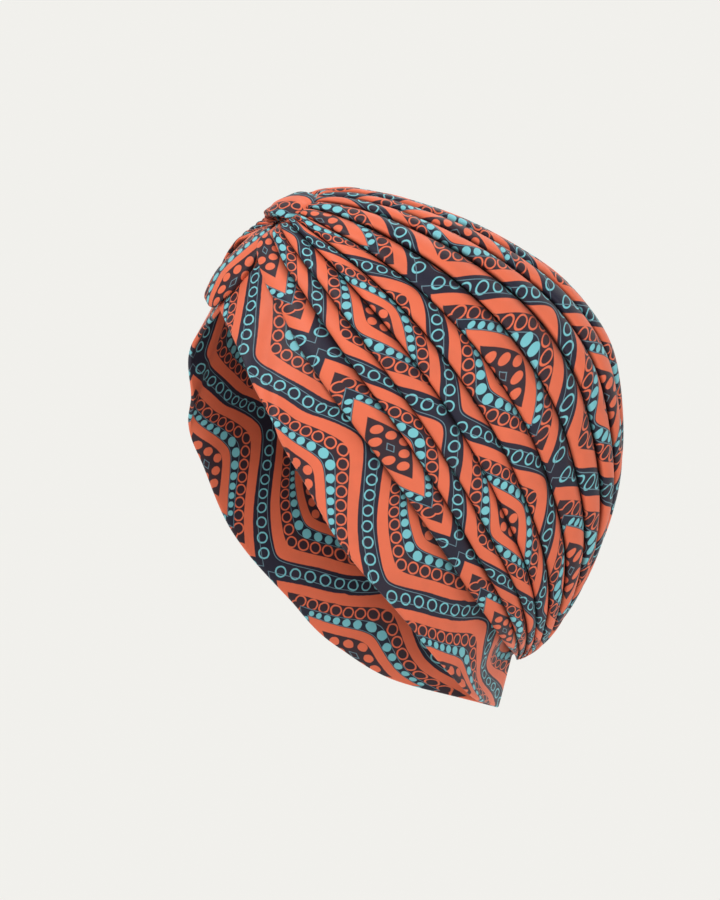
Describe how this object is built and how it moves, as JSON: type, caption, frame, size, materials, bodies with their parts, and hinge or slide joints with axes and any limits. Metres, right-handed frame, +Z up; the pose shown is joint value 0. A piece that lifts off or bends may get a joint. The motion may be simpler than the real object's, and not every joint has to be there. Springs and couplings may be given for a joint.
{
  "type": "turban headwrap",
  "caption": "Pleated pre-tied turban headwrap with a twist above the forehead, a smooth folded hem band and a short tail at the nape.",
  "frame": {"origin": "point of the crown's inner face that rests on the top of the head", "axes": "+Z up out of the crown, the face looks along -Y, +X to the wearer's left"},
  "size_m": [0.1624, 0.2046, 0.2506],
  "materials": {
    "printed_jersey": "matte"
  },
  "bodies": {
    "root": {"left_wrap": "printed_jersey", "right_wrap": "printed_jersey", "left_hem_panel": "printed_jersey", "right_hem_panel": "printed_jersey", "crossing_roll": "printed_jersey", "twist_loop": "printed_jersey"}
  },
  "joints": []
}
